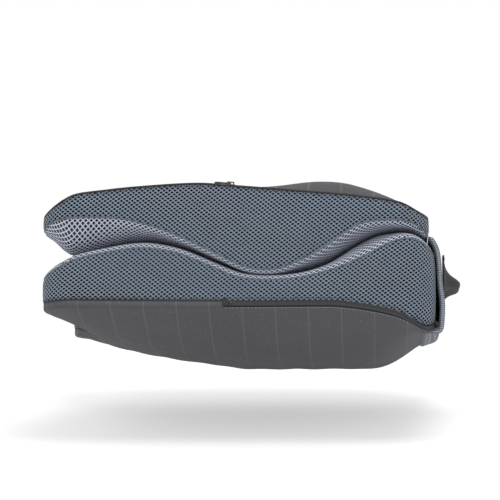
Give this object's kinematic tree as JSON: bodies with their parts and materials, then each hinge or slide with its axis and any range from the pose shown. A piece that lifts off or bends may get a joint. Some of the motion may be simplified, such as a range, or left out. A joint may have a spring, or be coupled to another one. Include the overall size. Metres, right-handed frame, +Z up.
{
  "type": "lumbar support cushion",
  "caption": "Folding lumbar support cushion: two contoured foam pads in mesh covers, nested face to face and joined by a fabric spine with a webbing handle.",
  "frame": {"origin": "centre of the flat patch of the lower pad's belly that the folded cushion rests on", "axes": "+X along the length towards the hinged end with the handle, +Y across the depth, +Z up out of the folded stack"},
  "size_m": [0.425, 0.344, 0.1876],
  "materials": {
    "face_mesh": "matte",
    "side_mesh": "matte",
    "outer_cloth": "matte",
    "liner_cloth": "matte",
    "foam": "matte",
    "face_binding": "matte",
    "dark_binding": "matte",
    "zip_tape": "matte",
    "zip_coil": "satin",
    "zip_metal": "satin",
    "spine_knit": "matte",
    "webbing": "matte"
  },
  "bodies": {
    "lower": {"lower_foam_core": "foam", "lower_core_liner": "liner_cloth", "lower_face_panel": "face_mesh", "lower_side_gusset": "side_mesh", "lower_base_panel": "outer_cloth", "lower_face_piping": "face_binding", "lower_base_piping": "dark_binding", "lower_zip_tape_base": "zip_tape", "lower_zip_tape_gusset": "zip_tape", "lower_zip_coil": "zip_coil", "lower_zip_end_tabs": "dark_binding", "lower_zip_stops": "zip_metal", "spine_panel": "spine_knit", "handle_ends": "webbing", "handle_bartacks": "dark_binding"},
    "lower_slider": {"lower_zip_slider": "zip_metal"},
    "lower_pull": {"lower_zip_pull": "zip_metal"},
    "handle": {"carry_handle": "webbing", "handle_legs": "webbing"},
    "upper": {"upper_foam_core": "foam", "upper_core_liner": "liner_cloth", "upper_face_panel": "face_mesh", "upper_side_gusset": "side_mesh", "upper_top_panel": "outer_cloth", "upper_face_piping": "face_binding", "upper_top_piping": "dark_binding", "upper_zip_tape_gusset": "zip_tape", "upper_zip_tape_top": "zip_tape", "upper_zip_coil": "zip_coil", "upper_zip_end_tabs": "dark_binding", "upper_zip_stops": "zip_metal"},
    "upper_slider": {"upper_zip_slider": "zip_metal"},
    "upper_pull": {"upper_zip_pull": "zip_metal"}
  },
  "joints": [
    {"name": "fold_hinge", "type": "hinge", "parent": "lower", "child": "upper", "pos_m": [0.155, 0, 0.1215], "axis": [0, 1, 0], "range_deg": [0, 130]},
    {"name": "handle_lift", "type": "slide", "parent": "lower", "child": "handle", "axis": [1, 0, 0], "range_m": [-0.012, 0.006], "deforming": ["handle_legs"]},
    {"name": "lower_zip", "type": "hinge", "parent": "lower", "child": "lower_slider", "pos_m": [0.1595, -0.06764, -0.17584], "axis": [-1, 0, 0], "range_deg": [0, 9.6]},
    {"name": "lower_pull_swing", "type": "hinge", "parent": "lower_slider", "child": "lower_pull", "pos_m": [0.1618, -0.126, 0.03215], "axis": [0, -0.2544, 0.9671], "range_deg": [0, 5]},
    {"name": "upper_zip", "type": "slide", "parent": "upper", "child": "upper_slider", "axis": [0.9965, 0, -0.083], "range_m": [0, 0.09]},
    {"name": "upper_pull_swing", "type": "hinge", "parent": "upper_slider", "child": "upper_pull", "pos_m": [-0.04481, -0.1635, 0.17039], "axis": [0, 1, 0], "range_deg": [0, 150]}
  ]
}
